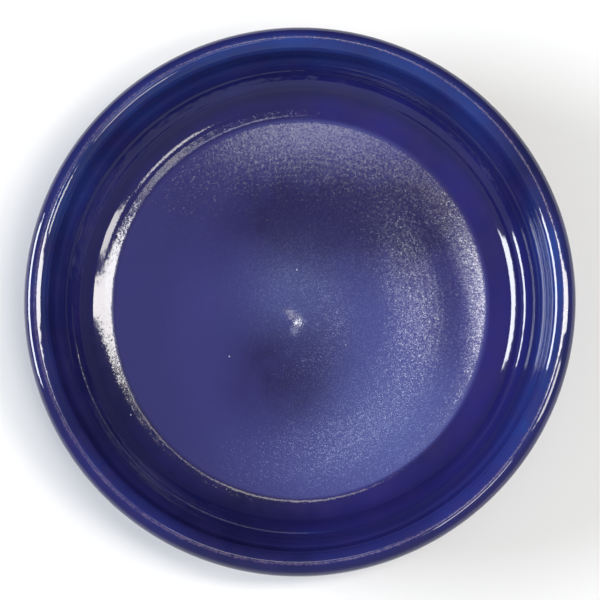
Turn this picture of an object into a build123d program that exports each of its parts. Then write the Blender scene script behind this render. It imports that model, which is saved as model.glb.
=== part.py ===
"""Glazed stoneware plant saucer: a thrown clay dish with a coat of glaze inside and another outside.

Millimetres, +Z up. The origin is the centre of the foot, on the surface that the saucer stands on.
Every piece is turned about the Z axis, so each is drawn as a half section: radius across, height up.
"""

import os
from math import atan2, hypot, tan

from build123d import *

# Finished sizes of the saucer, with its glaze on
saucer_diameter = 250.0
saucer_height = 44.0
lip_width = 11.4
glaze_thickness = 0.6

# Inner wall: curves up from the floor like a bowl, in soft steps between throwing rings, to an upright neck.
# Its corners are shares of its run and its rise, from the floor's edge outwards and up.
curve_run = 26.7
curve_shares = (
    (0.243, 0.046),
    (0.401, 0.125),
    (0.476, 0.19),
    (0.577, 0.335),
    (0.745, 0.475),
    (0.813, 0.6),
    (0.963, 0.75),
)
soft_share = 0.45
lip_neck = 5.3

# Floor: a flat seat for the pot with a crisp edge, and the throwing nub in the middle
floor_height = 9.6
floor_edge_round = 5.0
nub_radius = 5.0
nub_height = 0.8
nub_top_share = 0.3
nub_round = 5.0

# Outer wall: straight, leaning outwards from the heel to the lip, with two low throwing rings
outside_run = 15.0
outside_ring_rise = 0.6
outside_ring_width_share = 0.2
outside_ring_shares = (0.34, 0.66)

# Underside of the lip, where the rolled bead turns back into the outer wall
lip_tuck_drop = 3.2
lip_overhang = 3.7
lip_tuck_round = 2.6
lip_root_round = 3.0

# Foot: a turned ring that stays bare clay, inside a bare heel, and the glaze line above them
foot_height = 3.2
foot_width = 9.0
foot_taper = 0.8
foot_edge_round = 1.2
foot_root_round = 1.4
recess_round = 2.0
heel_lift = 0.8
heel_run = 11.2
heel_round = 4.5
glaze_line_rise = 4.2
glaze_roll_round_share = 0.8

# Clay surfaces lie one glaze thickness under the finished ones
lip_radius = lip_width / 2 - glaze_thickness
lip_centre_radius = (saucer_diameter - lip_width) / 2
lip_centre_height = saucer_height - lip_width / 2
crest = (lip_centre_radius, lip_centre_height + lip_radius)
clay_floor = floor_height - glaze_thickness

# The inner wall rises from the floor's edge to the neck just under the lip's bead
bead_inside = (lip_centre_radius - lip_radius, lip_centre_height)
bead_outside = (lip_centre_radius + lip_radius, lip_centre_height)
neck = (bead_inside[0], lip_centre_height - lip_neck)
floor_edge = (neck[0] - curve_run, clay_floor)
curve_rise = neck[1] - clay_floor
curve = [(floor_edge[0] + across * curve_run, floor_edge[1] + up * curve_rise) for across, up in curve_shares]


def softened(points):
    """Inner points of a line, each with a rounding that takes up a share of the shorter run beside it."""
    corners = []
    for before, point, after in zip(points, points[1:], points[2:]):
        run_in = (point[0] - before[0], point[1] - before[1])
        run_out = (after[0] - point[0], after[1] - point[1])
        turn = atan2(run_in[0] * run_out[1] - run_in[1] * run_out[0], run_in[0] * run_out[0] + run_in[1] * run_out[1])
        corners.append((point, soft_share * min(hypot(*run_in), hypot(*run_out)) / tan(abs(turn) / 2)))
    return corners


# Half section of the clay under the inside glaze, from the middle of the floor to the crest of the lip
inside_corners = [
    ((nub_radius * nub_top_share, clay_floor + nub_height), nub_round),
    ((nub_radius, clay_floor), nub_round),
    (floor_edge, floor_edge_round),
    *softened([floor_edge, *curve, neck, bead_inside]),
]
with BuildLine() as inside_line:
    FilletPolyline(
        (0, clay_floor + nub_height),
        *(corner for corner, _ in inside_corners),
        bead_inside,
        radius=[rounding for _, rounding in inside_corners],
    )
    JernArc(bead_inside, (0, 1), lip_radius, -90)

# Half section of the clay under the outside glaze, from the crest of the lip to the glaze line
lip_tuck = (bead_outside[0], lip_centre_height - lip_tuck_drop)
lip_root = (lip_tuck[0] - lip_overhang, lip_tuck[1] - lip_tuck_drop)
heel = (lip_root[0] - outside_run, foot_height + heel_lift)
glaze_line_share = 1 - glaze_line_rise / (lip_root[1] - heel[1])


def on_outer_wall(share, rise):
    """Point at a share of the way from the lip's root down to the heel, raised off the outer wall."""
    across, up = lip_root[0] + share * (heel[0] - lip_root[0]), lip_root[1] + share * (heel[1] - lip_root[1])
    length = hypot(lip_root[0] - heel[0], lip_root[1] - heel[1])
    return (across + rise * (lip_root[1] - heel[1]) / length, up - rise * (lip_root[0] - heel[0]) / length)


glaze_line = on_outer_wall(glaze_line_share, 0)
outside_rings = []
for ring_share in outside_ring_shares:
    for share, rise in (
        (ring_share - outside_ring_width_share / 2, 0),
        (ring_share, outside_ring_rise),
        (ring_share + outside_ring_width_share / 2, 0),
    ):
        outside_rings.append(on_outer_wall(share * glaze_line_share, rise))
outside_corners = [
    (lip_tuck, lip_tuck_round),
    (lip_root, lip_root_round),
    *softened([lip_root, *outside_rings, glaze_line]),
]
with BuildLine() as outside_line:
    JernArc(crest, (1, 0), lip_radius, -90)
    FilletPolyline(
        bead_outside,
        *(corner for corner, _ in outside_corners),
        glaze_line,
        radius=[rounding for _, rounding in outside_corners],
    )

# Half section of the bare clay, from the glaze line round the heel and the foot to the axis
foot_radius = heel[0] - heel_run
foot_inner_radius = foot_radius - foot_width
bare_corners = [
    (heel, heel_round),
    ((foot_radius, foot_height), foot_root_round),
    ((foot_radius - foot_taper, 0), foot_edge_round),
    ((foot_inner_radius + foot_taper, 0), foot_edge_round),
    ((foot_inner_radius, foot_height), recess_round),
]
with BuildLine() as bare_line:
    FilletPolyline(
        glaze_line,
        *(corner for corner, _ in bare_corners),
        (0, foot_height),
        radius=[rounding for _, rounding in bare_corners],
    )

# The fired clay dish
with BuildPart() as clay_body:
    with BuildSketch(Plane.XZ):
        with BuildLine():
            add(inside_line.line)
            add(outside_line.line)
            add(bare_line.line)
            Line((0, foot_height), (0, clay_floor + nub_height))
        make_face()
    revolve(axis=Axis.Z)
clay_body.part.label = "clay_body"

# The coat of glaze poured over the floor and the inner wall
with BuildPart() as inside_glaze:
    with BuildSketch(Plane.XZ):
        with BuildLine():
            offset(inside_line.line, amount=glaze_thickness, side=Side.LEFT, closed=True)
        make_face()
    revolve(axis=Axis.Z)
inside_glaze.part.label = "inside_glaze"

# The coat of glaze on the outer wall, ending in a rounded roll at the glaze line
with BuildPart() as outside_glaze:
    with BuildSketch(Plane.XZ):
        with BuildLine():
            offset(outside_line.line, amount=glaze_thickness, side=Side.LEFT, closed=True)
        make_face()
    revolve(axis=Axis.Z)
    glaze_roll = outside_glaze.edges().filter_by(GeomType.CIRCLE).group_by(Axis.Z)[0]
    fillet(glaze_roll, glaze_thickness * glaze_roll_round_share)
outside_glaze.part.label = "outside_glaze"

os.makedirs("parts", exist_ok=True)
for piece in (clay_body, inside_glaze, outside_glaze):
    export_step(piece.part, f"parts/{piece.part.label}.step")
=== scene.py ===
import math
import bpy
import numpy as np
from mathutils import Matrix, Quaternion, Vector


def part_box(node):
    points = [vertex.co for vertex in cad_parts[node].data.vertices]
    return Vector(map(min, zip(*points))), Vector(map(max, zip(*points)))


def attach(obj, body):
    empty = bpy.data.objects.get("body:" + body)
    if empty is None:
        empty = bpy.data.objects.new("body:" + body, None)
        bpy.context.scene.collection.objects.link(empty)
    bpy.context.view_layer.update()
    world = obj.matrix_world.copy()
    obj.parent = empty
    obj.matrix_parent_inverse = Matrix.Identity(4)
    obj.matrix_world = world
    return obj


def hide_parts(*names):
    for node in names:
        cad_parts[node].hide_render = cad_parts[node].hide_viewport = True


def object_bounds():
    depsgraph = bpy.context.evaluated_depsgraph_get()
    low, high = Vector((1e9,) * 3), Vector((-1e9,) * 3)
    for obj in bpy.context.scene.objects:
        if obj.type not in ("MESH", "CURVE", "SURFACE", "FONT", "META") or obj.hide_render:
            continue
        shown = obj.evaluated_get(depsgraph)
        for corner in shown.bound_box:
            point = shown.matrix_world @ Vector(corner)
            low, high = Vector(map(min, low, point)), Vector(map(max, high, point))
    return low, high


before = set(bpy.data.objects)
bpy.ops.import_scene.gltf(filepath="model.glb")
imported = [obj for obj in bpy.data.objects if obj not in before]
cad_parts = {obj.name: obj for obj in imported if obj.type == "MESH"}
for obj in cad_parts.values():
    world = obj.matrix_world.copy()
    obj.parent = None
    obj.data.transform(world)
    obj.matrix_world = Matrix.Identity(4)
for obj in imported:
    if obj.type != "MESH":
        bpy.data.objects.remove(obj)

mm = 0.001
cadLow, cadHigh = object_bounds()
rimRadius = cadHigh.x / mm                              # outermost point of the lip
rimHeight = cadHigh.z / mm                              # top of the lip
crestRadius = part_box("inside_glaze")[1].x / mm          # where the two coats of glaze meet
lipRadius = rimRadius - crestRadius                     # the lip is a half-round bead
print("frame: lip", round(2 * rimRadius, 1), "mm across and", round(rimHeight, 1), "mm high")


# Small tools

def hexColour(code):
    # sRGB hex to linear: each channel is a straight line near black and a 2.4 power above it
    srgb = np.array([int(code[i:i + 2], 16) for i in (1, 3, 5)]) / 255
    linear = np.where(srgb <= 0.04045, srgb / 12.92, ((srgb + 0.055) / 1.055) ** 2.4)
    return (*linear.tolist(), 1.0)


def addNode(tree, kind, links=None, **settings):
    # Settings are the node's own properties. Links are its sockets: a value, or another node's output.
    # A tuple of sockets takes a tuple of them. What comes back is the new node's outputs.
    node = tree.nodes.new("ShaderNode" + kind)
    for name, value in settings.items():
        setattr(node, name, value)
    for sockets, values in (links or {}).items():
        pairs = zip(sockets, values) if isinstance(sockets, tuple) else [(sockets, values)]
        for socket, value in pairs:
            if isinstance(value, bpy.types.NodeSocket):
                tree.links.new(value, node.inputs[socket])
            else:
                node.inputs[socket].default_value = value
    return node.outputs


def smoothStep(low, high, x):
    # 0 below low, 1 above high, and a cubic ease between them
    t = np.clip((x - low) / (high - low), 0, 1)
    return t * t * (3 - 2 * t)


def bell(x, middle, width):
    # a bell curve, 1 at its middle
    return np.exp(-((x - middle) / width) ** 2)


def ring(length, crest, reach):
    # a half-cosine ridge, 1 on its crest and 0 beyond its reach
    return 0.5 + 0.5 * np.cos(np.pi * np.clip((length - crest) / reach, -1, 1))


def slowWave(theta, seed, turns):
    # a closed wavy line round the dish, from 0 to 1: sines of whole turns with random phases, added up
    draw = np.random.default_rng(seed)
    counts = np.arange(1, turns + 1).reshape(-1, *[1] * np.ndim(theta))
    phases = draw.uniform(0, 2 * np.pi, counts.shape)
    weights = draw.uniform(0.4, 1, counts.shape) / np.sqrt(counts)
    return 0.5 + 0.5 * (weights * np.sin(counts * theta + phases)).sum(0) / weights.sum()


# Half section of the clay, in mm: straight runs whose corners are cut off by arcs.
# A corner is (radius, height, rounding).

section = {
    "glaze": 0.6,               # the coat that lies on the clay
    "floor": 9.0,
    "edgeRadius": 87.5,         # edge of the floor
    "edgeRound": 26.0,
    "curve": (                  # corners of the inner wall from the floor's edge up, as (radius, height)
        (94.0, 10.1), (98.2, 12.0), (100.6, 13.9), (104.0, 17.0), (108.4, 21.8), (113.0, 27.6),
    ),
    "softShare": 0.45,          # part of the shorter run that a corner's rounding takes up
    "neckHeight": 33.0,         # where the wall turns upright under the lip
    "tuckDrop": 3.2,            # underside of the lip
    "tuckRound": 2.6,
    "overhang": 3.7,
    "rootRound": 3.0,
    "outsideRun": 15.0,         # how far the outer wall leans in from the lip down to the heel
    "heelHeight": 4.0,
    "heelRound": 4.5,
    "heelRun": 11.2,
    "footWidth": 9.0,
    "footTaper": 0.8,
    "footHeight": 3.2,
    "footRootRound": 1.4,
    "footEdgeRound": 1.2,
    "recessRound": 2.0,
    "arcSteps": 24,
}


def softened(points):
    # inner points of a line, each with a rounding that takes up a share of the shorter run beside it
    points = np.array(points, float)
    runs = np.diff(points, axis=0)
    size = np.hypot(*runs.T)
    turn = np.diff(np.unwrap(np.arctan2(runs[:, 1], runs[:, 0])))
    rounding = section["softShare"] * np.minimum(size[:-1], size[1:]) / np.tan(np.abs(turn) / 2)
    return np.column_stack([points[1:-1], rounding]).tolist()


def roundedLine(corners):
    # Each inner corner is cut off by an arc tangent to both its runs: the arc starts
    # rounding * tan(turn / 2) before the corner and sweeps the whole turn about its own centre.
    corners = np.array(corners, float)
    pieces = [corners[:1, :2]]
    for before, corner, after in zip(corners[:-2], corners[1:-1], corners[2:]):
        inward = (corner[:2] - before[:2]) / np.linalg.norm(corner[:2] - before[:2])
        onward = (after[:2] - corner[:2]) / np.linalg.norm(after[:2] - corner[:2])
        turn = math.atan2(inward[0] * onward[1] - inward[1] * onward[0], inward @ onward)
        start = corner[:2] - inward * corner[2] * math.tan(abs(turn) / 2)
        spoke = math.copysign(corner[2], turn) * np.array([inward[1], -inward[0]])
        sweep = np.linspace(0, turn, section["arcSteps"])[:, None]
        arc = np.cos(sweep) * spoke + np.sin(sweep) * np.array([-spoke[1], spoke[0]])
        pieces.append(start - spoke + arc)
    pieces.append(corners[-1:, :2])
    return np.concatenate(pieces)


def lengthAlong(line):
    # running length of a line, from its first point
    return np.concatenate([[0], np.cumsum(np.linalg.norm(np.diff(line, axis=0), axis=1))])


beadRadius = lipRadius - section["glaze"]
beadTop = rimHeight - section["glaze"]
beadInside = crestRadius - beadRadius
beadOutside = crestRadius + beadRadius
floorEdge = (section["edgeRadius"], section["floor"])
neck = (beadInside, section["neckHeight"])
tuckLevel = rimHeight - lipRadius - section["tuckDrop"]
lipRoot = (beadOutside - section["overhang"], tuckLevel - section["tuckDrop"])
heel = (lipRoot[0] - section["outsideRun"], section["heelHeight"])
footRadius = heel[0] - section["heelRun"]
footInner = footRadius - section["footWidth"]
insideLine = roundedLine([
    (0, section["floor"], 0),
    (*floorEdge, section["edgeRound"]),
    *softened([floorEdge, *section["curve"], neck, (beadInside, beadTop - beadRadius)]),
    (beadInside, beadTop, beadRadius),
    (crestRadius, beadTop, 0),
])
outsideLine = roundedLine([
    (crestRadius, beadTop, 0),
    (beadOutside, beadTop, beadRadius),
    (beadOutside, tuckLevel, section["tuckRound"]),
    (*lipRoot, section["rootRound"]),
    (*heel, section["heelRound"]),
    (footRadius, section["footHeight"], section["footRootRound"]),
    (footRadius - section["footTaper"], 0, section["footEdgeRound"]),
    (footInner + section["footTaper"], 0, section["footEdgeRound"]),
    (footInner, section["footHeight"], section["recessRound"]),
    (0, section["footHeight"], 0),
])
clayLine = np.concatenate([insideLine, outsideLine[1:]])        # floor's middle, lip, heel, foot, recess
clayLength = lengthAlong(clayLine)
crestAt = lengthAlong(insideLine)[-1]
endAt = clayLength[-1]


def sectionAt(length):
    # radius and height of the clay at a running length
    return np.interp(length, clayLength, clayLine[:, 0]), np.interp(length, clayLength, clayLine[:, 1])


def insideAt(radius):
    # running length where the floor or the inner wall reaches a radius
    return np.interp(radius, insideLine[:, 0], clayLength[:len(insideLine)])


def outsideAt(height):
    # running length where the outer wall reaches a height, on the way down to the heel
    falling = -clayLine[len(insideLine):, 1]
    return np.interp(-height, np.maximum.accumulate(falling), clayLength[len(insideLine):])


edgeAt = insideAt(section["edgeRadius"])
curveAt = [insideAt(radius) for radius, height in section["curve"]]
recessAt = endAt - footInner
print("half section:", round(crestAt, 1), "mm to the lip and", round(endAt, 1), "mm in all")


# The thrower's hand: rings, finger lines, swells and the slight wobble of a dish thrown by hand

hand = {
    "insideRings": ((102.9, 0.3), (109.2, 0.3)),    # (radius, rise in mm)
    "insideReach": 3.0,         # mm on either side of an inside ring
    "insideFade": 1.5,          # how fast the inside rings run out towards -X
    "creaseRadius": 105.7,      # a thin crease that the throwing tool left part of the way round
    "creaseRise": 0.72,
    "creaseReach": 0.95,
    "creaseMiddle": 4.05,       # radians
    "creaseEnds": (0.6, 0.85),  # cosine of the turn from its middle: where it ends, and where it is whole
    "outsideRings": ((23.8, 0.6), (16.3, 0.6)),     # (height, rise in mm)
    "outsideReach": 2.8,        # mm on either side of an outside ring
    "spiralPitch": 3.1,         # mm between the finger lines of the floor
    "spiralRise": 0.003,
    "spiralStart": (8, 30),     # mm from the axis between which they come in
    "spiralEnd": (70, 82),      # and between which they run out
    "spiralWander": 0.8,        # radians that they stray from a true spiral
    "spiralDrift": 23.0,        # mm outwards in which the straying turns by a radian
    "nub": (-5.2, -8.6),        # mm from the axis: where the fingers came together
    "nubWidth": 5.0,
    "nubRise": 0.5,
    "swell": 0.13,              # mm, slow swells of the floor round the nub
    "swellTurns": (10, 30, 44, 70, 84, 104),        # mm from the nub: crest, hollow, crest and so on
    "broadTurns": (10, 30, 70, 110),                # the same on the far side, where they run together
    "swellSide": -0.6,          # radians, middle of the near side
    "swellBlend": (-0.1, 0.6),  # cosine of the turn from it: where the far side ends and the near side starts
    "swellEnd": (6, 26),        # mm past the floor's edge between which the swells die out
    "dish": 0.03,               # mm that the floor's middle lies below its edge
    "dishFrom": 66.0,           # mm from the axis where it starts to rise
    "turningPitch": 2.6,        # mm between the turning tool's lines under the foot
    "turningRise": 0.12,
    "turningStart": (2, 8),     # mm in from the foot ring between which they come in
    "turningEnd": (1, 6),       # mm from the axis between which they run out
    "turningWander": 0.3,       # pitches that their middle is off the axis
    "floorOval": 1.75,          # mm that the floor's edge is pushed out along Y
    "floorOvalSkew": 0.6,       # share by which this is more at -Y and less at +Y
    "floorOvalReach": 14.0,     # mm on either side of the edge
    "outOfRound": 0.9,          # mm that the lip draws in at its tightest
    "roundWave": (3, 3),        # seed and turns of the wave that draws it in
    "lipDip": 0.45,             # mm that the lip dips at its lowest
    "dipWave": (8, 4),
}
insideRings = [(insideAt(radius), rise) for radius, rise in hand["insideRings"]]
outsideRings = [(outsideAt(height), rise) for height, rise in hand["outsideRings"]]
creaseAt = insideAt(hand["creaseRadius"])


def crease(length, theta):
    # 1 along the crease and 0 off it: a narrow ridge that runs out at both its ends
    along = smoothStep(*hand["creaseEnds"], np.cos(theta - hand["creaseMiddle"]))
    return along * ring(length, creaseAt, hand["creaseReach"])


def wallRings(length, theta):
    # rise of the rings on both walls, of which the inside ones fade round the dish, and of the crease
    fade = (0.5 + 0.5 * np.cos(theta)) ** hand["insideFade"]
    rings = fade * sum(rise * ring(length, crest, hand["insideReach"]) for crest, rise in insideRings)
    rings = rings + sum(rise * ring(length, crest, hand["outsideReach"]) for crest, rise in outsideRings)
    return rings + hand["creaseRise"] * crease(length, theta)


def swells(away, turns):
    # a cosine that turns from crest to hollow and back at given distances
    return np.cos(np.interp(away, turns, np.pi * np.arange(len(turns))))


def relief(length, theta):
    # Rise of the clay along its normal: the rings of the walls, then the nub, swells, dish and spiral lines
    # of the floor, and the turning tool's lines underneath.
    flat = np.minimum(length, edgeAt)
    nubX = flat * np.cos(theta) - hand["nub"][0]
    nubY = flat * np.sin(theta) - hand["nub"][1]
    nubAway = np.hypot(nubX, nubY)
    nub = hand["nubRise"] * bell(nubAway, 0, hand["nubWidth"])
    nearSide = smoothStep(*hand["swellBlend"], np.cos(np.arctan2(nubY, nubX) - hand["swellSide"]))
    swell = swells(nubAway, hand["swellTurns"]) * nearSide
    swell = swell + swells(nubAway, hand["broadTurns"]) * (1 - nearSide)
    swell = hand["swell"] * swell * (1 - smoothStep(*hand["swellEnd"], length - edgeAt))
    slope = np.clip((length - hand["dishFrom"]) / (edgeAt - hand["dishFrom"]), 0, 1)
    dish = hand["dish"] * (slope ** 2 - 1)
    seat = smoothStep(*hand["spiralStart"], length) * (1 - smoothStep(*hand["spiralEnd"], length))
    stray = hand["spiralWander"] * np.sin(2 * theta + length / hand["spiralDrift"])
    spiral = hand["spiralRise"] * np.sin(2 * np.pi * length / hand["spiralPitch"] - theta + stray)
    under = smoothStep(*hand["turningStart"], length - recessAt)
    under = under * smoothStep(*hand["turningEnd"], endAt - length)
    lines = length / hand["turningPitch"] + hand["turningWander"] * np.sin(theta)
    turned = hand["turningRise"] * (np.abs(np.sin(np.pi * lines)) - 1)
    return wallRings(length, theta) + nub + swell + dish + seat * spiral + under * turned


def surface(length, theta, lift):
    # Point of the dish: the half section at a running length, moved along its normal by the relief and
    # a lift, pushed out near the floor's edge, drawn in and lowered towards the lip by two slow waves,
    # and turned to an angle.
    step = 0.04                 # mm on either side, for the section's direction
    startR, startZ = sectionAt(np.clip(length - step, 0, endAt))
    stopR, stopZ = sectionAt(np.clip(length + step, 0, endAt))
    alongR, alongZ = stopR - startR, stopZ - startZ
    span = np.hypot(alongR, alongZ)
    out = relief(length, theta) + lift
    radius, height = sectionAt(length)
    radius = np.maximum(radius - alongZ / span * out, 0)
    height = height + alongR / span * out
    oval = hand["floorOval"] * np.sin(theta) ** 2 * (1 - hand["floorOvalSkew"] * np.sin(theta))
    push = bell(radius, section["edgeRadius"], hand["floorOvalReach"]) * (length < crestAt)
    radius = radius + oval * push
    up = np.clip(height / rimHeight, 0, 1)
    radius = radius * (1 - hand["outOfRound"] / rimRadius * slowWave(theta, *hand["roundWave"]) * up)
    dip = hand["lipDip"] * slowWave(theta, *hand["dipWave"])
    height = height - dip * up ** 2 * radius / rimRadius
    return np.stack([radius * np.cos(theta), radius * np.sin(theta), height], -1) * mm


def surfaceNormal(length, theta, coatAt):
    # cross product of the surface's two directions, each taken over a short step either way
    stepAlong = 0.05            # mm
    stepRound = 0.002           # radians
    tiny = 1e-15                # keeps the axis, where there is no way round, from dividing by zero
    start, stop = (np.clip(length + step, 0, endAt) for step in (-stepAlong, stepAlong))
    along = surface(stop, theta, coatAt(stop, theta)) - surface(start, theta, coatAt(start, theta))
    before, after = theta - stepRound, theta + stepRound
    across = surface(length, after, coatAt(length, after)) - surface(length, before, coatAt(length, before))
    normal = np.cross(along, across)
    return normal / np.maximum(np.linalg.norm(normal, axis=-1, keepdims=True), tiny)


# Meshes turned on a grid: rows run along the half section, columns run round the dish

wheel = {"columns": 360}
columns = wheel["columns"]
theta = np.linspace(0, 2 * np.pi, columns, endpoint=False)[None, :]


def steps(start, end, spacing):
    # running lengths from start up to, but without, end
    count = max(2, round(abs(end - start) / spacing))
    return np.linspace(start, end, count, endpoint=False)


def turnedMesh(name, points, normals, fields, poles):
    # Rows of points joined by quads, the last column to the first. With poles, the first and last row shrink
    # to one point each, facing up and down, and close as fans. Without poles, the last row joins the first.
    rows = len(points)
    if poles:
        flat = np.concatenate([points[0, :1], points[1:-1].reshape(-1, 3), points[-1, :1]])
        normals = np.concatenate([[[0, 0, 1]], normals[1:-1].reshape(-1, 3), [[0, 0, -1]]])
        fields = {key: np.concatenate([grid[0, :1], grid[1:-1].ravel(), grid[-1, :1]])
                  for key, grid in fields.items()}
        rows, first, wrap = rows - 2, 1, False
    else:
        flat, normals = points.reshape(-1, 3), normals.reshape(-1, 3)
        fields = {key: grid.ravel() for key, grid in fields.items()}
        first, wrap = 0, True
    row = np.arange(rows if wrap else rows - 1)[:, None]
    column = np.arange(columns)[None, :]
    nextRow, nextColumn = (row + 1) % rows, (column + 1) % columns
    quads = first + np.stack([row * columns + column, row * columns + nextColumn,
                              nextRow * columns + nextColumn, nextRow * columns + column], -1).reshape(-1, 4)
    faces = quads[:, ::-1].tolist()
    if poles:
        last = len(flat) - 1
        bottom = first + (rows - 1) * columns
        around, ahead = np.arange(columns), (np.arange(columns) + 1) % columns
        faces += np.stack([np.zeros_like(around), first + around, first + ahead], -1).tolist()
        faces += np.stack([np.full_like(around, last), bottom + ahead, bottom + around], -1).tolist()
    mesh = bpy.data.meshes.new(name)
    mesh.from_pydata(flat.tolist(), [], faces)
    mesh.polygons.foreach_set("use_smooth", np.ones(len(mesh.polygons), bool))
    for key, values in fields.items():
        layer = mesh.attributes.new(key, "FLOAT", "POINT")
        layer.data.foreach_set("value", np.asarray(values, np.float32))
    mesh.normals_split_custom_set_from_vertices(normals.tolist())
    piece = bpy.data.objects.new(name, mesh)
    bpy.context.scene.collection.objects.link(piece)
    print(name, "has", len(mesh.vertices), "points and", 2 * len(quads) + 2 * columns * poles, "triangles")
    return piece


# Glaze: thinner on the inside rings, and rolled up at its lower end where it stopped short of the foot

coat = {
    "lineHeight": 9.0,          # mm above the table where the outside coat ends
    "lineWander": 1.3,          # mm that this line wanders up and down
    "lineWave": (21, 9),        # seed and turns of its wave
    "dripDrop": 1.6,            # mm that a run hangs below the line
    "dripWidth": 0.05,          # radians
    "drips": (0.7, 1.15, 2.6, 3.9, 4.05, 5.5),      # radians
    "rollWidth": 1.1,           # mm of the rounded end
    "rollRise": 0.35,           # mm that the roll stands proud
    "rollPlace": 1.5,           # its crest's distance from the end, in roll widths
    "ringThinning": 0.1,        # mm that the coat is thinner on an inside ring
    "ringWidth": 1.2,
    "floorStep": 1.3,           # mm between rows of points
    "edgeStep": 0.25,
    "edgeRows": (-3, 2),        # mm past the floor's edge between which rows are close
    "wallStep": 0.42,
    "backStep": 3.0,
    "outsideStep": 0.013,       # rows of the outside coat, as shares of its length
    "endShares": 0.03 * np.linspace(0.4, 0, 5) ** 1.5,      # what is left of it at its last, closer rows
    "backShares": np.linspace(0.98, 0, 14),                 # rows of its back, from the end up
}


def glazeEnd(theta):
    # running length of the outside coat's end: a wavy line with a few runs that hang below it
    line = coat["lineHeight"] - coat["lineWander"] * slowWave(theta, *coat["lineWave"])
    away = [np.angle(np.exp(1j * (theta - drip))) for drip in coat["drips"]]
    line = line - coat["dripDrop"] * sum(bell(turn, 0, coat["dripWidth"]) for turn in away)
    return outsideAt(line)


def noCoat(length, theta):
    # the clay itself
    return 0


def insideCoat(length, theta):
    # thickness of the inside coat: a little less on the crests of the throwing rings
    crests = sum(bell(length, crest, coat["ringWidth"]) for crest, rise in insideRings)
    return section["glaze"] - coat["ringThinning"] * crests


def outsideCoat(length, theta):
    # thickness of the outside coat: even on the wall, then a proud roll that closes in a quarter ellipse
    left = np.clip(glazeEnd(theta) - length, 0, None)
    close = np.clip(1 - left / coat["rollWidth"], 0, 1)
    roll = coat["rollRise"] * bell(left, coat["rollPlace"] * coat["rollWidth"], coat["rollWidth"])
    return (section["glaze"] + roll) * np.sqrt(1 - close ** 2)


# What the fire made of the glaze, with painted gleam, shade, reflection and highlight among them, as fields
# that its material follows: each is 0 where there is none of it

melt = {
    "crestThin": 0.6,           # how thin it ran on the lip's crest
    "crestWidth": 0.8,          # mm
    "ringThin": 0.6,            # the same on an outside ring, for each mm that the ring rises
    "ringWidth": 1.0,
    "poolCorners": (2, 4),      # corners of the inner wall, counted from 0, that hold a pool
    "shadePastCrest": 5.0,       # mm down the outside of the lip, where a painted shade darkens it like a pool
    "poolAndShadeWidth": 4.0,
    "satinLosses": ((0.6, -1.2, 1.5), (0.4, 8, 16)),        # (share, from, to) in mm past the floor's edge
    "grainLosses": ((0.2, 0, 2), (0.8, 7, 11)),
    "edgeLoss": 0.8,            # share of the grain that is lost on the edge itself
    "edgeWidth": 1.6,
    # patches of milky crystals that paint the floor's gleam, and darker violet patches of lean glaze and
    # painted shade: (x, y, stretch along Y, size, amount) in mm
    "frostAndGleam": (
        (44, -52, 1.0, 36, 0.54), (5, -74, 0.5, 34, 0.2), (-4, 6, 1.0, 22, 0.4), (34, 2, 1.3, 20, 0.18),
        (2, 80, 0.3, 42, 0.2),
    ),
    "leanAndShade": (
        (4, 42, 0.64, 48, 1.2), (-6, -30, 1.0, 30, 1.05), (58, 40, 1.0, 26, 0.95), (68, -8, 2.2, 12, 0.5),
    ),
    "frostGleamEnd": (-1, 0),        # mm past the floor's edge between which the crystals and their painted gleam stop
    "patchEnd": 12.0,           # mm past the edge from which a patch no longer changes up the wall
    "highStart": 12.0,          # mm past the edge where the upper wall's colour comes in
    "highFull": 7.0,            # mm before the lip's crest where it is whole
    "highLoss": 0.8,            # share that is lost over the crest
    "highEnd": (-1, 3),         # mm past the crest
    "highMost": 1.1,            # its amount on the side that is not painted darker
    "shadedSideLoss": 0.8,         # less of it on one side: painted shade and reflection
    "shadedSideTurn": -0.2,        # radians that this side is turned from -Y
    "shadedSideBlend": (0.1, 0.6),     # cosine of the turn from it
    "creaseHighlight": 1.6,          # more of it along the crease: a painted highlight
}


def patches(x, y, places):
    # soft ovals, added up
    return sum(amount * bell(np.hypot(x - middleX, (y - middleY) / stretch), 0, size)
               for middleX, middleY, stretch, size, amount in places)


def leftAfter(losses, pastEdge):
    # what is left of 1 after each loss has eased in
    return 1 - sum(share * smoothStep(start, end, pastEdge) for share, start, end in losses)


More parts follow.
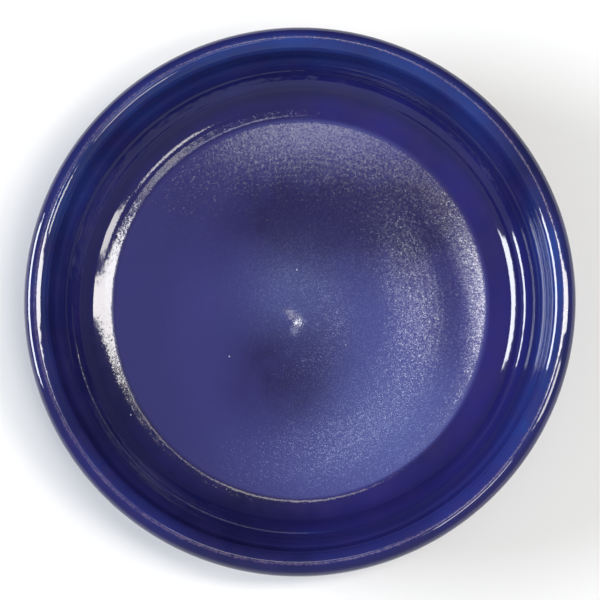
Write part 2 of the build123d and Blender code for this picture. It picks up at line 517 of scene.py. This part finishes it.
def glazeFields(length, theta):
    # thin edges, pools and painted shade on the outside of the lip, the satin floor, the grain of its
    # crystals, its milky patches of painted gleam, its darker patches of lean glaze and painted shade, and
    # the colour of the upper wall with a painted reflection, a painted highlight along the crease and a
    # painted shaded side
    length = length + 0 * theta
    pastEdge, pastCrest = length - edgeAt, length - crestAt
    inside = pastCrest < 0
    thin = melt["crestThin"] * bell(pastCrest, 0, melt["crestWidth"])
    rings = sum(rise * bell(length, crest, melt["ringWidth"]) for crest, rise in outsideRings)
    poolAndShade = sum(bell(length, curveAt[corner], melt["poolAndShadeWidth"]) for corner in melt["poolCorners"])
    # painted shade on the outside of the lip, added to the pools
    poolAndShade = poolAndShade + bell(pastCrest, melt["shadePastCrest"], melt["poolAndShadeWidth"]) * (pastCrest > 0)
    flat = np.where(inside, np.clip(length, 0, edgeAt + melt["patchEnd"]), 0)
    x, y = flat * np.cos(theta), flat * np.sin(theta)
    grain = leftAfter(melt["grainLosses"], pastEdge)
    grain = grain * (1 - melt["edgeLoss"] * bell(pastEdge, 0, melt["edgeWidth"]))
    # one side of the upper wall painted darker: painted shade and reflection
    shadedSide = smoothStep(*melt["shadedSideBlend"], -np.sin(theta - melt["shadedSideTurn"]))
    # the upper wall's lighter blue, partly a painted reflection
    high = smoothStep(edgeAt + melt["highStart"], crestAt - melt["highFull"], length)
    high = high * (1 - melt["highLoss"] * smoothStep(*melt["highEnd"], pastCrest))
    high = high * (melt["highMost"] - melt["shadedSideLoss"] * shadedSide)
    return {
        "thin": thin + melt["ringThin"] * rings,
        "poolAndShade": poolAndShade,
        "satin": leftAfter(melt["satinLosses"], pastEdge),
        "grain": grain,
        # milky crystals laid where the floor gleams: a painted gleam
        "frostAndGleam": patches(x, y, melt["frostAndGleam"]) * (1 - smoothStep(*melt["frostGleamEnd"], pastEdge)) * inside,
        # darker violet patches: partly lean glaze, partly painted shade and reflection
        "leanAndShade": patches(x, y, melt["leanAndShade"]) * inside,
        # the upper wall's colour, and a painted highlight along the crease
        "high": high + melt["creaseHighlight"] * crease(length, theta),
    }


def coatMesh(name, shown, hidden, coatAt, poles):
    # a coat's face on one row of running lengths after another, then its back, which lies on the clay
    points = np.concatenate([surface(shown, theta, coatAt(shown, theta)), surface(hidden, theta, 0)])
    normals = np.concatenate([surfaceNormal(shown, theta, coatAt), -surfaceNormal(hidden, theta, noCoat)])
    fields = glazeFields(np.concatenate([shown, hidden]), theta)
    return turnedMesh(name, points, normals, fields, poles)


def makeInsideGlaze():
    # face from the floor's middle up to the crest, back down to the middle again
    edges = (0, edgeAt + coat["edgeRows"][0], edgeAt + coat["edgeRows"][1], crestAt)
    spacing = (coat["floorStep"], coat["edgeStep"], coat["wallStep"])
    shown = np.concatenate([*(steps(*span) for span in zip(edges, edges[1:], spacing)), [crestAt]])[:, None]
    hidden = np.concatenate([steps(crestAt, 0, coat["backStep"]), [0]])[:, None]
    return coatMesh("insideGlaze", shown, hidden, insideCoat, True)


def makeOutsideGlaze():
    # face from the crest down to the wavy end, back up to the crest again
    share = np.concatenate([steps(0, 1, coat["outsideStep"]), 1 - coat["endShares"]])[:, None]
    end = glazeEnd(theta)
    shown = crestAt + share * (end - crestAt)
    hidden = crestAt + coat["backShares"][:, None] * (end - crestAt)
    return coatMesh("outsideGlaze", shown, hidden, outsideCoat, False)


# Clay: bare from the glaze's end down, over the heel and the foot, to the middle of the recess

bare = {
    "startAbove": 3.0,          # mm above the glaze's line from which rows are close
    "hiddenStep": 3.0,          # mm between rows of points
    "heelStep": 0.6,
    "recessStep": 0.7,
    "sunk": 0.03,               # mm that the covered clay lies under the glaze's back
    "sinkRun": 2.0,             # mm in which it comes up again
    "haloWidth": 3.5,           # mm of darker clay along the glaze
    "rubHeight": 0.5,           # mm above the table that are rubbed pale
}


def makeClay():
    # the whole half section, in rows that are wide apart under the glaze
    bareFrom = outsideAt(coat["lineHeight"] + bare["startAbove"])
    covered = steps(0, bareFrom, bare["hiddenStep"])
    heelRows = steps(bareFrom, recessAt, bare["heelStep"])
    recessRows = steps(recessAt, endAt, bare["recessStep"])
    length = np.concatenate([covered, heelRows, recessRows, [endAt]])[:, None]
    sunk = -bare["sunk"] * (1 - smoothStep(bareFrom, bareFrom + bare["sinkRun"], length))
    points = surface(length, theta, sunk)
    normals = surfaceNormal(length, theta, noCoat)
    pastGlaze = np.clip(length - glazeEnd(theta), 0, None)
    fields = {
        "halo": bell(pastGlaze, 0, bare["haloWidth"]),
        "rub": bell(points[..., 2] / mm, 0, bare["rubHeight"]),
        "groove": np.clip(-relief(length, theta) / hand["turningRise"], 0, 1),
    }
    return turnedMesh("clayBody", points, normals, fields, True)


insideGlaze = makeInsideGlaze()
outsideGlaze = makeOutsideGlaze()
clayBody = makeClay()


# Materials. A Mix takes its factor in socket 0 and its colours in 6 and 7, and gives its mix in output 2.
# A Map Range takes what runs from 1 to 2 over to 3 to 4.

def newMaterial(name):
    material = bpy.data.materials.new(name)
    material.use_nodes = True
    material.node_tree.nodes.clear()
    return material, material.node_tree


def ingredients(tree, look, fieldNames):
    # what a material is mixed from: linear colours, fields of the mesh, noises and cells of real sizes
    colours = {key: hexColour(code) for key, code in look["colours"].items()}
    fields = {key: addNode(tree, "Attribute", attribute_name=key)["Fac"] for key in fieldNames}
    place = addNode(tree, "TexCoord")["Object"]
    noises, cells = {}, {}
    for key, (size, detail) in look["noises"].items():
        sockets = {"Vector": place, "Scale": 1 / (size * mm), "Detail": detail}
        noises[key] = addNode(tree, "TexNoise", sockets)["Fac"]
    for key, size in look["cells"].items():
        cells[key] = addNode(tree, "TexVoronoi", {"Vector": place, "Scale": 1 / (size * mm)})
    return colours, fields, noises, cells


glazeLook = {
    "colours": {
        "deep": "#181848",      # thick glaze
        "low": "#26216A",       # near the floor
        "high": "#243A80",      # near the lip: the glaze's lighter blue, partly a painted reflection
        "violet": "#322560",    # where the coat is a little thinner
        # dark pools in the wall's corners, and painted shade on the outside of the lip
        "poolAndShade": "#151548",
        "floor": "#3E3D80",     # the satin floor, a little milky
        "leanAndShade": "#1F184A",      # its darker violet patches: partly lean glaze, partly painted shade and reflection
        "edge": "#86748C",      # iron of the clay breaking through
        "frostAndGleam": "#8496CE",     # milky crystals in the satin floor, placed and lightened as a painted gleam
        "speck": "#B9B6D0",     # pinholes
    },
    "noises": {                 # size in mm, detail
        "cloud": (70.0, 3.0),
        "streak": (14.0, 4.0),
        "edge": (0.9, 2.0),
        "peel": (5.0, 1.0),
    },
    "cells": {                  # mm
        "crystal": 0.44,        # crystals of the satin floor, drawn coarse enough to show
        "speck": 11.0,
    },
    "cloudRange": (0.35, 0.65),     # noise from which the thick glaze lightens, and at which it is light
    "streakRange": (0.45, 0.75),
    "streakMost": 0.55,
    "poolAndShadeMost": 0.6,
    "leanAndShadeRange": (0.3, 0.7),    # noise that makes the darker patches uneven
    "leanAndShadeShares": (0.8, 1.15),
    "milkyFrom": 0.45,          # satin from which the floor's own colour comes in
    "milkyMost": 0.9,
    "edgeRange": (0.85, 1.5),   # noise plus thinness at which the iron starts to show, and shows most
    "edgeMost": 0.8,
    "crystalRim": (0.55, 0.25),     # a crystal's rim and its full middle, in cells
    "crystalKept": (0.45, 0.9),     # chance below which a cell holds none, and above which it is full
    "crystalFrostGleam": (0.35, 1.3),    # share of a patch's milk and painted gleam between the crystals and on them
    "speckRim": (0.04, 0.025),
    "speckRare": 0.82,          # share of the cells that hold none
    "gloss": 0.06,
    "satin": (0.1, 0.14),       # between the crystals and on them
    "peelStrength": 0.5,        # slight orange peel of the glassy wall
    "peelDepth": 0.1,           # mm
    "facetTilt": 0.068,         # most that the random lean of a crystal's face is scaled by
    "facetPower": 0.8,          # below 1, more of the faces lean far
    "ior": 1.58,
}


def cobaltGlaze():
    # Cobalt stoneware glaze, poured and fired: glassy and deep on the wall, satin and sparkling on the floor,
    # breaking to brown-violet where it ran thin over edges.
    look = glazeLook
    material, tree = newMaterial("cobaltGlaze")
    names = ("thin", "poolAndShade", "satin", "grain", "frostAndGleam", "leanAndShade", "high")
    colours, fields, noises, cells = ingredients(tree, look, names)

    # the wall: clouds of deeper and lighter blue, the lighter blue near the lip partly a painted reflection,
    # violet streaks, dark pools and painted shade on the outside of the lip
    cloud = addNode(tree, "MapRange", {0: noises["cloud"], (1, 2): look["cloudRange"]})
    light = addNode(tree, "Mix", {0: fields["high"], 6: colours["low"], 7: colours["high"]}, data_type="RGBA")
    blue = addNode(tree, "Mix", {0: cloud[0], 6: colours["deep"], 7: light[2]}, data_type="RGBA")
    streak = addNode(tree, "MapRange", {0: noises["streak"], (1, 2): look["streakRange"],
                                        4: look["streakMost"]})
    warm = addNode(tree, "Mix", {0: streak[0], 6: blue[2], 7: colours["violet"]}, data_type="RGBA")
    poolAndShade = addNode(tree, "MapRange", {0: fields["poolAndShade"], 4: look["poolAndShadeMost"]})
    wall = addNode(tree, "Mix", {0: poolAndShade[0], 6: warm[2], 7: colours["poolAndShade"]}, data_type="RGBA")

    # the floor: milky, with darker patches of lean glaze and painted shade
    uneven = addNode(tree, "MapRange", {0: noises["streak"], (1, 2): look["leanAndShadeRange"],
                                        (3, 4): look["leanAndShadeShares"]})
    leanAndShade = addNode(tree, "Math", {0: fields["leanAndShade"], 1: uneven[0]}, operation="MULTIPLY", use_clamp=True)
    seat = addNode(tree, "Mix", {0: leanAndShade[0], 6: colours["floor"], 7: colours["leanAndShade"]}, data_type="RGBA")
    milky = addNode(tree, "MapRange", {0: fields["satin"], 1: look["milkyFrom"], 4: look["milkyMost"]})
    whole = addNode(tree, "Mix", {0: milky[0], 6: wall[2], 7: seat[2]}, data_type="RGBA")

    # thin edges, broken up by a fine noise
    bared = addNode(tree, "Math", {0: noises["edge"], 1: fields["thin"]}, operation="ADD")
    edge = addNode(tree, "MapRange", {0: bared[0], (1, 2): look["edgeRange"], 4: look["edgeMost"]})
    broken = addNode(tree, "Mix", {0: edge[0], 6: whole[2], 7: colours["edge"]}, data_type="RGBA")

    # crystals: the middles of some cells, in the milky patches that also paint the floor's gleam
    chance = addNode(tree, "SeparateColor", {0: cells["crystal"]["Color"]})
    middle = addNode(tree, "MapRange", {0: cells["crystal"]["Distance"], (1, 2): look["crystalRim"]})
    kept = addNode(tree, "MapRange", {0: chance[0], (1, 2): look["crystalKept"]})
    crystal = addNode(tree, "Math", {0: middle[0], 1: kept[0]}, operation="MULTIPLY")
    spread = addNode(tree, "MapRange", {0: crystal[0], (3, 4): look["crystalFrostGleam"]})
    frostAndGleam = addNode(tree, "Math", {0: spread[0], 1: fields["frostAndGleam"]}, operation="MULTIPLY")
    frostedAndGleaming = addNode(tree, "Mix", {0: frostAndGleam[0], 6: broken[2], 7: colours["frostAndGleam"]}, data_type="RGBA")

    # pinholes in a few large cells
    lot = addNode(tree, "SeparateColor", {0: cells["speck"]["Color"]})
    near = addNode(tree, "MapRange", {0: cells["speck"]["Distance"], (1, 2): look["speckRim"]})
    rare = addNode(tree, "Math", {0: lot[0], 1: look["speckRare"]}, operation="GREATER_THAN")
    speck = addNode(tree, "Math", {0: near[0], 1: rare[0]}, operation="MULTIPLY")
    colour = addNode(tree, "Mix", {0: speck[0], 6: frostedAndGleaming[2], 7: colours["speck"]}, data_type="RGBA")

    # gloss on the wall, satin on the floor
    satin = addNode(tree, "MapRange", {0: crystal[0], (3, 4): look["satin"]})
    rough = addNode(tree, "MapRange", {0: fields["satin"], 3: look["gloss"], 4: satin[0]})

    # orange peel on the wall, and a face for each crystal that leans its own way
    peel = addNode(tree, "MapRange", {0: fields["satin"], 3: look["peelStrength"], 4: 0.0})
    peeled = addNode(tree, "Bump", {"Height": noises["peel"], "Strength": peel[0],
                                    "Distance": look["peelDepth"] * mm})
    grey = (0.5, 0.5, 0.5)
    sideways = addNode(tree, "VectorMath", {0: cells["crystal"]["Color"], 1: grey}, operation="SUBTRACT")
    steep = addNode(tree, "Math", {0: chance[2], 1: look["facetPower"]}, operation="POWER")
    tilt = addNode(tree, "MapRange", {0: steep[0], 4: look["facetTilt"]})
    grain = addNode(tree, "Math", {0: tilt[0], 1: fields["grain"]}, operation="MULTIPLY")
    leaning = addNode(tree, "VectorMath", {0: sideways[0], "Scale": grain[0]}, operation="SCALE")
    facet = addNode(tree, "VectorMath", {0: peeled["Normal"], 1: leaning[0]}, operation="ADD")
    normal = addNode(tree, "VectorMath", {0: facet[0]}, operation="NORMALIZE")

    shader = addNode(tree, "BsdfPrincipled", {"Base Color": colour[2], "Roughness": rough[0],
                                              "IOR": look["ior"], "Normal": normal[0]})
    addNode(tree, "OutputMaterial", {"Surface": shader[0]})
    return material


clayLook = {
    "colours": {
        "body": "#8E5A41",
        "dark": "#744431",
        "halo": "#5C3022",      # iron drawn out along the glaze's end
        "rub": "#A9765A",       # the foot, rubbed by shelves and tables
        "iron": "#33211B",      # specks of iron
    },
    "noises": {                 # size in mm, detail
        "cloud": (28.0, 5.0),
        "grit": (0.9, 3.0),
    },
    "cells": {"iron": 3.2},     # mm
    "cloudRange": (0.35, 0.65),
    "grooveMost": 0.6,
    "rubMost": 0.7,
    "ironRim": (0.16, 0.08),
    "ironMost": 0.9,
    "ironRare": 0.6,            # share of the cells that hold none
    "gritStrength": 0.5,
    "gritDepth": 0.12,          # mm
    "roughness": (0.7, 0.95),
    "ior": 1.45,
}


def bareStoneware():
    # Iron-bearing stoneware, turned and fired bare: dry and matt, gritty, rust-brown with dark specks,
    # darker in the tool's grooves and along the glaze, paler where the foot is rubbed.
    look = clayLook
    material, tree = newMaterial("bareStoneware")
    colours, fields, noises, cells = ingredients(tree, look, ("halo", "rub", "groove"))
    cloud = addNode(tree, "MapRange", {0: noises["cloud"], (1, 2): look["cloudRange"]})
    body = addNode(tree, "Mix", {0: cloud[0], 6: colours["body"], 7: colours["dark"]}, data_type="RGBA")
    groove = addNode(tree, "MapRange", {0: fields["groove"], 4: look["grooveMost"]})
    lined = addNode(tree, "Mix", {0: groove[0], 6: body[2], 7: colours["dark"]}, data_type="RGBA")
    rub = addNode(tree, "MapRange", {0: fields["rub"], 4: look["rubMost"]})
    rubbed = addNode(tree, "Mix", {0: rub[0], 6: lined[2], 7: colours["rub"]}, data_type="RGBA")
    haloed = addNode(tree, "Mix", {0: fields["halo"], 6: rubbed[2], 7: colours["halo"]}, data_type="RGBA")
    lot = addNode(tree, "SeparateColor", {0: cells["iron"]["Color"]})
    near = addNode(tree, "MapRange", {0: cells["iron"]["Distance"], (1, 2): look["ironRim"],
                                      4: look["ironMost"]})
    rare = addNode(tree, "Math", {0: lot[0], 1: look["ironRare"]}, operation="GREATER_THAN")
    iron = addNode(tree, "Math", {0: near[0], 1: rare[0]}, operation="MULTIPLY")
    colour = addNode(tree, "Mix", {0: iron[0], 6: haloed[2], 7: colours["iron"]}, data_type="RGBA")
    grit = addNode(tree, "Bump", {"Height": noises["grit"], "Strength": look["gritStrength"],
                                  "Distance": look["gritDepth"] * mm})
    rough = addNode(tree, "MapRange", {0: noises["grit"], (3, 4): look["roughness"]})
    shader = addNode(tree, "BsdfPrincipled", {"Base Color": colour[2], "Roughness": rough[0],
                                              "IOR": look["ior"], "Normal": grit["Normal"]})
    addNode(tree, "OutputMaterial", {"Surface": shader[0]})
    return material


glazeMaterial, clayMaterial = cobaltGlaze(), bareStoneware()
for piece, node, slot, material in ((insideGlaze, "inside_glaze", "cobalt_glaze", glazeMaterial),
                                    (outsideGlaze, "outside_glaze", "cobalt_glaze", glazeMaterial),
                                    (clayBody, "clay_body", "bare_clay", clayMaterial)):
    piece.data.materials.append(material)
    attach(piece, "root")
    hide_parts(node)
print("materials done")


# Stage: a pale floor, a pale horizon under a dim ceiling, and soft boxes

stage = {
    "floorSize": 12.0,          # m
    "floorColour": "#F4F4F2",
    "floorRoughness": 0.9,
    "floorShine": 0.1,
    "horizon": "#8E949E",
    "ceiling": "#7C828C",
    "horizonEdge": (0.2, 0.42),     # sine of the height at which the horizon ends and the ceiling starts
    "sides": (1.7, 0.3),        # how bright the room is on the near side and on the far side
    "aimHeight": 20.0,          # mm above the table that the soft boxes face
}


def makeFloor():
    half = stage["floorSize"] / 2
    corners = [(-half, -half, 0), (half, -half, 0), (half, half, 0), (-half, half, 0)]
    mesh = bpy.data.meshes.new("floor")
    mesh.from_pydata(corners, [], [(0, 1, 2, 3)])
    material, tree = newMaterial("paleFloor")
    shader = addNode(tree, "BsdfPrincipled", {"Base Color": hexColour(stage["floorColour"]),
                                              "Roughness": stage["floorRoughness"],
                                              "Specular IOR Level": stage["floorShine"]})
    addNode(tree, "OutputMaterial", {"Surface": shader[0]})
    mesh.materials.append(material)
    floor = bpy.data.objects.new("floor", mesh)
    bpy.context.scene.collection.objects.link(floor)


def makeWorld():
    # pale all round at eye level and dim above, as in a room with white walls that is dimmer on the far side
    world = bpy.data.worlds.new("studio")
    world.use_nodes = True
    tree = world.node_tree
    tree.nodes.clear()
    way = addNode(tree, "TexCoord")["Generated"]
    up = addNode(tree, "SeparateXYZ", {0: way})
    rise = addNode(tree, "MapRange", {0: up["Z"], (1, 2): stage["horizonEdge"]},
                   interpolation_type="SMOOTHSTEP")
    horizon, ceiling = hexColour(stage["horizon"]), hexColour(stage["ceiling"])
    sky = addNode(tree, "Mix", {0: rise[0], 6: horizon, 7: ceiling}, data_type="RGBA")
    side = addNode(tree, "MapRange", {0: up["Y"], 1: -1.0, (3, 4): stage["sides"]})
    light = addNode(tree, "Background", {"Color": sky[2], "Strength": side[0]})
    addNode(tree, "OutputWorld", {"Surface": light[0]})
    bpy.context.scene.world = world


# (name, degrees round from +X, degrees above the table, metres away, width and height in degrees,
# degrees of roll, radiance, colour)
softBoxes = (
    ("window", 174, 24.5, 3.0, 31, 17, 0, 18.0, "#F4F8FF"),
    ("overhead", 13.8, 64.6, 4.0, 8, 36, -13.8, 17.0, "#FFFBF4"),
    ("overheadNear", -19, 83, 4.0, 4.4, 3.6, 0, 4.5, "#FFFBF4"),
    ("overheadFar", -12, 53, 4.0, 9, 14, 0, 12.0, "#FFFBF4"),
    ("overheadSide", -43, 64, 4.0, 12, 8, 0, 10.0, "#FFFBF4"),
    ("ceilingRight", 38, 81.1, 4.0, 9, 5, 0, 3.2, "#E6ECFF"),
    ("ceilingNear", -57, 87.4, 4.0, 5.6, 2.4, 0, 5.0, "#E6ECFF"),
    ("farSide", 94, 75.1, 6.0, 8, 3.2, 0, 5.6, "#FFF9EE"),
    ("farRight", 63, 76.2, 6.0, 6, 1.8, 0, 5.5, "#FFF4E6"),
)


def makeSoftBox(name, around, above, distance, wide, tall, roll, radiance, colour):
    # a rectangle that faces the dish, as wide and tall as it looks from there
    around, above = math.radians(around), math.radians(above)
    way = Vector((math.cos(above) * math.cos(around), math.cos(above) * math.sin(around), math.sin(above)))
    lamp = bpy.data.lights.new(name, "AREA")
    lamp.shape = "RECTANGLE"
    lamp.size = 2 * distance * math.tan(math.radians(wide / 2))
    lamp.size_y = 2 * distance * math.tan(math.radians(tall / 2))
    lamp.energy = radiance * math.pi * lamp.size * lamp.size_y
    lamp.color = hexColour(colour)[:3]
    box = bpy.data.objects.new(name, lamp)
    box.location = way * distance + Vector((0, 0, stage["aimHeight"] * mm))
    box.rotation_euler = (way.to_track_quat("Z", "Y") @ Quaternion((0, 0, 1), math.radians(roll))).to_euler()
    bpy.context.scene.collection.objects.link(box)


makeFloor()
makeWorld()
for softBox in softBoxes:
    makeSoftBox(*softBox)
print("stage done")


# Camera: nearly straight down, from a little towards the viewer

view = {
    "elevation": 83.0,          # degrees
    "azimuth": 18.0,            # degrees, turned towards +X
    "distance": 0.85,           # m from the middle of the lip's plane
    "sensor": 36.0,             # mm
    "picture": 600,             # pixels
    "rimPixels": 277.0,         # half the width of the lip in the picture
    "aimPixels": (298.4, 297.2),    # where the middle of the lip's plane falls, from the picture's top left
}


def makeCamera():
    elevation, azimuth = math.radians(view["elevation"]), math.radians(view["azimuth"])
    aim = Vector((0, 0, (rimHeight - lipRadius) * mm))
    away = Vector((math.cos(elevation) * math.sin(azimuth), -math.cos(elevation) * math.cos(azimuth),
                   math.sin(elevation)))
    data = bpy.data.cameras.new("camera")
    data.sensor_width = view["sensor"]
    data.lens = view["sensor"] / view["picture"] * view["rimPixels"] * view["distance"] / (rimRadius * mm)
    data.shift_x = (view["picture"] / 2 - view["aimPixels"][0]) / view["picture"]
    data.shift_y = (view["aimPixels"][1] - view["picture"] / 2) / view["picture"]
    camera = bpy.data.objects.new("camera", data)
    camera.location = aim + away * view["distance"]
    up = Vector((0, 1, 0))
    right = up.cross(away).normalized()
    camera.rotation_euler = Matrix((right, away.cross(right), away)).transposed().to_euler()
    bpy.context.scene.collection.objects.link(camera)
    bpy.context.scene.camera = camera


makeCamera()
bpy.context.scene.view_settings.view_transform = "Standard"
